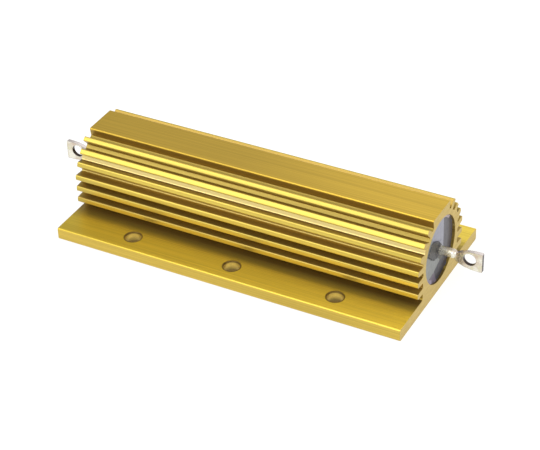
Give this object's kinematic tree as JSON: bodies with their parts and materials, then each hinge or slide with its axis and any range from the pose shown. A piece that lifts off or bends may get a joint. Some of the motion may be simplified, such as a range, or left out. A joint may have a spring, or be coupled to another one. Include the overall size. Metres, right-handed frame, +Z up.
{
  "type": "aluminium housed power resistor",
  "caption": "Wirewound power resistor sealed in a finned gold anodised aluminium extrusion, with a drilled mounting base and a flat pierced solder lug at each end.",
  "frame": {"origin": "middle of the mounting base, on its underside", "axes": "+X along the extrusion and the terminals, +Z up from the mounting face"},
  "size_m": [0.12, 0.0474, 0.0236],
  "materials": {
    "gold_anodised_aluminium": "satin gold anodised, drawn along its length",
    "moulding_compound": "dark grey moulded compound, slightly glossy",
    "ceramic": "unglazed",
    "resistance_alloy": "drawn wire",
    "plated_steel": "nickel plated",
    "tinned_metal": "bright tinned"
  },
  "bodies": {
    "root": {"housing": "gold_anodised_aluminium", "encapsulant": "moulding_compound", "ceramic_core": "ceramic", "resistance_winding": "resistance_alloy", "end_cap_left": "plated_steel", "end_cap_right": "plated_steel", "terminal_left": "tinned_metal", "terminal_right": "tinned_metal"}
  },
  "joints": []
}
